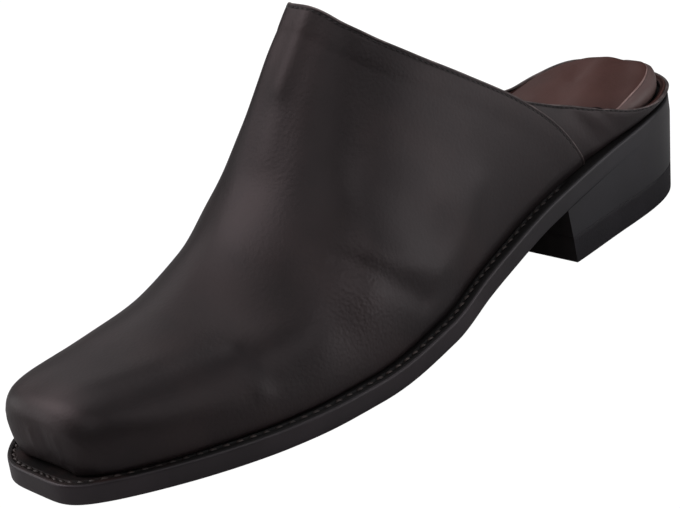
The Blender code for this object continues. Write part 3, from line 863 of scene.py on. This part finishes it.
TOPS = (0, 0.9, 1.25, 1.55, 1.85, 2.15, 2.45, 2.8, 3.6, 5.0)
SEAM_TOP = 1.85
SEAM_COLUMN = -1 - TOPS.index(SEAM_TOP)
UNDER_VAMP = 0.75  # how deep the quarter's ends lie, under the vamp
GROOVE_DEEP, GROOVE_WIDE = 0.22, 0.45
SEWN_WALL = 5.5  # the lowest wall that is sewn
LAPPED_ROWS = 4
grid = quarter_rows(1 / 12, TOPS, 12)
IN_QUARTER = np.array((0, 110, 45.0))
normal = normals(grid, IN_QUARTER)
count = len(grid)
from_seam = np.minimum(np.arange(count), count - 1 - np.arange(count))[:, None, None]
sink = UNDER_VAMP * (1 - smooth(4, 20, from_seam))
run_up = np.linalg.norm(grid - grid[:, -1:], axis=-1, keepdims=True)
wall = np.linalg.norm(grid[:, :1] - grid[:, -1:], axis=-1, keepdims=True)
groove = GROOVE_DEEP * np.exp(-((run_up - SEAM_TOP) / GROOVE_WIDE) ** 2) * smooth(5, 8, wall)
grid = grid - normal * (sink + groove)
tuck(grid, (slice(None), 0))
quarter = leather_sheet("quarter_leather", grid, IN_QUARTER, LEATHER, turn=0.6)
rows, columns = grid.shape[:2]
rim_edge = border_faces(grid, columns, columns + rows - 2)
rim_edge += [2 * (i * (columns - 1) + columns - 2)
             for i in range(LAPPED_ROWS, rows - 1 - LAPPED_ROWS)]

seam_line = np.array([[np.interp(SEAM_TOP, run_up[i, ::-1, 0], grid[i, ::-1, k]) for k in range(3)]
                      for i in range(count)])
tall = wall[:, 0, 0] > SEWN_WALL
UPPER_PITCH, UPPER_THREAD = 2.3, {"length": 2.0, "width": 0.6}
rows = []
for part in (slice(0, count // 2), slice(count // 2, count)):
    keep = np.nonzero(tall[part])[0] + part.start
    rows.append((seam_line[keep], normal[keep, SEAM_COLUMN], UPPER_PITCH, 0.0))
rim_seam = stitches("rim_seam", rows, **UPPER_THREAD)

# ---------------------------------------------------------------------------------------------
# Vamp. One piece of black oiled cowhide, lasted over a square toe and run up to a high throat.
# It laps over the quarter's ends, with a cut edge and one row of stitches along its whole back.
EDGE_STEPS = (9, 7, 5.4, 4.2, 3.3, 2.7, 2.25, 1.95, 1.7, 1.45, 1.2, 0.9, 0)
SEAM_EDGE = 1.45
FAR = 20.0  # further from the edge than the thick part of the lap
LAP_PROUD, SEAM_DEEP, SEAM_WIDE = 0.35, 0.24, 0.42
# Each fold: the points that it runs through, its half width, and its height, which is below 0
# for a hollow. The first two are on the throat, the last three on the toe's front, and the
# others on the outer side.
FOLDS = (
    (((-1, 2, 114), (-2, -3, 108), (-2, -8, 102), (-3, -15, 93)), 4.0, 0.7),
    (((-1, 2, 114), (-2, -8, 102), (-3, -15, 93), (-2, -21, 84), (-1, -29, 75)), 5.5, 0.5),
    (((14, -123, 36), (19, -107, 34), (25, -89, 32), (31, -70, 29), (37, -54, 27)), 10.0, 1.3),
    (((28, -16, 64), (30, -8, 61), (34, 6, 54), (36, 19, 46)), 8.0, 0.5),
    (((36, 30, 46), (37, 24, 39), (39, 16, 32), (40, 10, 28)), 6.0, 0.6),
    (((36, -22, 44), (38, -17, 40), (40, -11, 36), (41, -5, 32), (42, 1, 28)), 4.5, 0.9),
    (((32, -33, 45), (36, -28, 41), (40, -23, 37), (42, -19, 32), (43, -13, 27), (44, -8, 22)),
     3.6, -0.8),
    (((36, -37, 35), (39, -32, 32)), 11.0, 1.5),
    (((27, -79, 31), (31, -80, 29), (35, -80, 25), (38, -79, 20)), 3.0, 0.35),
    (((29, -74, 31), (34, -74, 28), (38, -73, 22)), 3.5, -0.35),
    (((-3, -141.4, 25), (-2, -141.4, 21), (-1, -141, 17)), 1.6, 0.3),
    (((3, -141.4, 26), (4, -141.4, 22), (5, -141, 17)), 1.8, -0.25),
    (((9, -141.3, 25), (10, -141.3, 21), (10, -140.8, 17)), 1.6, 0.25),
)


def vamp_grid(per_section, columns, edge_steps):
    """The vamp's grid, with rows at set distances from its back edge."""
    halves = []
    for side in ("lateral", "medial"):
        column = np.linspace(0, CREST, columns * CREST + 1)
        fine = np.linspace(BACK - 1, BACK, 200)
        near = vamp_face(side, fine[:, None], column[None, :])
        steps = np.linalg.norm(np.diff(near, axis=0), axis=-1)
        left = np.cumsum(steps[::-1], axis=0)[::-1]
        left = np.concatenate((left, np.zeros_like(left[:1])))
        last = np.array([[np.interp(-step, -left[:, j], fine) for j in range(len(column))]
                         for step in edge_steps])
        numbers = np.arange(0, (BACK - 1) * per_section + 1) / per_section
        join = np.linspace(0, 1, per_section + 1)[1:-1, None]
        between = (BACK - 1) * (1 - join) + last[:1] * join
        sections = np.concatenate((np.repeat(numbers[:, None], len(column), 1), between, last))
        halves.append(vamp_face(side, sections, column[None, :]))
    return np.concatenate((halves[0], halves[1][:, -2::-1]), axis=1)


def creased(grid, inner):
    """The grid with its folds pressed in along the normals."""
    normal = normals(grid, inner)
    push = sum(depth * np.exp(-(near_line(grid, line) / wide) ** 2) for line, wide, depth in FOLDS)
    return grid + normal * push[..., None]


IN_VAMP = np.array((0, -60, 20.0))
grid = creased(vamp_grid(10, 9, EDGE_STEPS), IN_VAMP)
normal = normals(grid, IN_VAMP)
from_edge = np.concatenate((np.full(len(grid) - len(EDGE_STEPS), FAR), EDGE_STEPS))[:, None, None]
proud = LAP_PROUD * (1 - smooth(4, 14, from_edge))
groove = SEAM_DEEP * np.exp(-((from_edge - SEAM_EDGE) / SEAM_WIDE) ** 2)
grid = grid + normal * (proud - groove)
for lower_edge in ((slice(None), 0), (slice(None), -1), (0, slice(1, -1))):
    tuck(grid, lower_edge)
vamp = leather_sheet("vamp_leather", grid, IN_VAMP, LEATHER, turn=0.6)
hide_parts("upper")

at_seam = len(grid) - len(EDGE_STEPS) + EDGE_STEPS.index(SEAM_EDGE)
row = (grid[at_seam, 3:-3], normal[at_seam, 3:-3], UPPER_PITCH, 0.0)
vamp_seam = stitches("vamp_seam", [row], **UPPER_THREAD)

cowhide, shader, where = finish("oiled_cowhide", specular=0.5)
shader.inputs["Specular Tint"].default_value = (1.0, 0.87, 0.90, 1)
cloud = where.noise(22, detail=5, rough=0.6)
grain = where.cells(850)
fine = where.noise(1700, detail=2)
red = where.noise(34, detail=3, shift=(3, 1, 2)).between(0.4, 0.72)
# A patch of pebbled grain on the outer side, with a stronger bump. Its place also gets a painted
# highlight.
pebbled_grain_and_highlight = where.spot(38, -36, 32, 26)
# Painted highlights: the pebbled patch and the toe's top front corner are turned towards a pale
# colour.
painted_highlights = pebbled_grain_and_highlight * 0.45 + where.spot(7, -138, 35, 14) * 0.8
dyed = red.tint(rgb(25, 21, 22), rgb(38, 30, 30))
connect(shader, where, colour=painted_highlights.tint(dyed, rgb(74, 66, 67)), roughness=0.34 + cloud * 0.2,
        height=(grain * (0.00005 + pebbled_grain_and_highlight * 0.00016) + fine * 0.00002
                + where.noise(26, detail=1) * 0.0004))
vamp.data.materials.append(cowhide)
quarter.data.materials.append(cowhide)

# Painted highlight: the vamp's back edge and the quarter's rolled top edge are coloured pale where
# their rounded edges catch the light.
painted_edge_highlight, shader, where = finish("painted_edge_highlight", specular=0.5)
cloud = where.noise(180, detail=3)
connect(shader, where, colour=cloud.between(0.35, 0.7).tint(rgb(74, 65, 65), rgb(124, 110, 109)),
        roughness=0.45 + cloud * 0.2, height=cloud * 0.00008)
rows, columns = grid.shape[:2]
face_with(vamp, painted_edge_highlight, border_faces(grid, columns + rows - 1, 2 * columns + rows - 2))
face_with(quarter, painted_edge_highlight, rim_edge)

seam_thread, shader, where = finish("black_thread", roughness=0.5, specular=0.5)
age = where.noise(200, detail=1).between(0.4, 0.6)
connect(shader, where, colour=age.tint(rgb(20, 17, 18), rgb(36, 31, 32)),
        height=where.noise(2500, detail=1) * 0.00006)
vamp_seam.data.materials.append(seam_thread)
rim_seam.data.materials.append(seam_thread)

# ---------------------------------------------------------------------------------------------
# Linings. Soft brown leather, glued inside the vamp and the quarter and trimmed just below the
# turned top edge.
LINING = 1.0
BEHIND = {"start": LEATHER + 0.02, "turn": 0.3}
grid = creased(vamp_grid(6, 5, (8, 5, 3, 2, 0.7)), IN_VAMP)
vamp_lining = leather_sheet("vamp_lining", grid, IN_VAMP, LINING, **BEHIND)
grid = quarter_rows(1 / 8, (0.7, 1.2, 2.0, 3.5), 8, under=0.2)
heel_lining = leather_sheet("heel_lining", grid, IN_QUARTER, LINING, **BEHIND)
for lining in (vamp_lining, heel_lining):
    lining.data.materials.append(lining_brown)

# ---------------------------------------------------------------------------------------------
# Studio. A pale paper table before a white backdrop. A big soft light stands on the inner side,
# past the toe, with a wall, a fill and a light overhead to help it, and four small weak panels add
# gloss to the shoe's sides. The camera looks down on the outer side from past the toe.
TABLE_HALF = 4.0  # metres
table = bmesh.new()
bmesh.ops.create_grid(table, x_segments=1, y_segments=1, size=TABLE_HALF)
floor_mesh = bpy.data.meshes.new("table_top")
table.to_mesh(floor_mesh)
table.free()
floor = bpy.data.objects.new("table_top", floor_mesh)
floor.location = (0, 0, -0.0002)
bpy.context.scene.collection.objects.link(floor)
paper, shader, where = finish("white_paper", roughness=0.9, specular=0.1)
shader.inputs["Base Color"].default_value = (0.55, 0.55, 0.55, 1)
seen = where.node("ShaderNodeLightPath")
glow = where.node("ShaderNodeEmission", sockets={"Color": (1, 1, 1, 1), "Strength": 1.2})
matt = Shade(where.tree, shader.outputs[0])
mixed = where.node("ShaderNodeMixShader", sockets={0: seen * 0.85, 1: matt, 2: glow})
where.tree.links.new(mixed.socket, where.tree.nodes["Material Output"].inputs["Surface"])
floor.data.materials.append(paper)

sky = bpy.data.worlds.new("studio")
sky.use_nodes = True
air = sky.node_tree.nodes["Background"]
air.inputs["Color"].default_value = (1, 1, 1, 1)
seen = Shade(sky.node_tree).node("ShaderNodeLightPath")
sky.node_tree.links.new((seen * 0.96 + 0.04).socket, air.inputs["Strength"])
bpy.context.scene.world = sky


WHITE, WARM, COOL = (1, 1, 1), (1.0, 0.93, 0.94), (0.95, 0.95, 1.0)
AIM_HEIGHT = 0.04


def softbox(name, azimuth, elevation, far, width, height, watts, colour=WHITE):
    """A soft light that aims at the shoe's middle from that many metres away. It is seen from
    there at azimuth degrees from +X towards +Y, and at that elevation."""
    light = bpy.data.lights.new(name, "AREA")
    light.shape, light.size, light.size_y, light.energy = "RECTANGLE", width, height, watts
    light.color = colour
    lamp = bpy.data.objects.new(name, light)
    turn, tilt = math.radians(azimuth), math.radians(elevation)
    aim = Vector((math.cos(turn) * math.cos(tilt), math.sin(turn) * math.cos(tilt), math.sin(tilt)))
    lamp.location = aim * far + Vector((0, 0, AIM_HEIGHT))
    lamp.rotation_mode = "QUATERNION"
    lamp.rotation_quaternion = aim.to_track_quat("Z", "Y")
    lamp.visible_camera = False
    bpy.context.scene.collection.objects.link(lamp)


softbox("key", -133, 47, 1.3, 1.0, 0.9, 6.0, WARM)
softbox("back_wall", 163, 28, 1.3, 1.1, 0.6, 1.6, WARM)
softbox("front_fill", -50, 42, 1.3, 0.9, 0.8, 1.8)
softbox("overhead", 130, 75, 1.3, 0.9, 0.9, 2.5)
softbox("high_panel", 60, 45, 0.8, 0.4, 0.4, 0.2, COOL)
softbox("side_panel", 39, 7, 0.33, 0.32, 0.14, 0.2)
softbox("small_panel", 5, 38, 0.5, 0.2, 0.2, 0.18)
softbox("low_strip", -140, 8, 0.6, 0.5, 0.2, 0.45)

right = Vector((0.69898, 0.69850, -0.15337))
up = Vector((-0.19452, 0.39207, 0.89913))
back = right.cross(up)
lens = bpy.data.cameras.new("camera")
lens.sensor_width, lens.lens = 36, 172.75
lens.shift_x, lens.shift_y = 0.0114, 0.0063
lens.clip_start, lens.clip_end = 0.05, 20
camera = bpy.data.objects.new("camera", lens)
camera.matrix_world = Matrix((right, up, back)).transposed().to_4x4()
camera.location = (0.7609, -0.6691, 0.4808)
bpy.context.scene.collection.objects.link(camera)
bpy.context.scene.camera = camera
bpy.context.scene.view_settings.view_transform = "Standard"
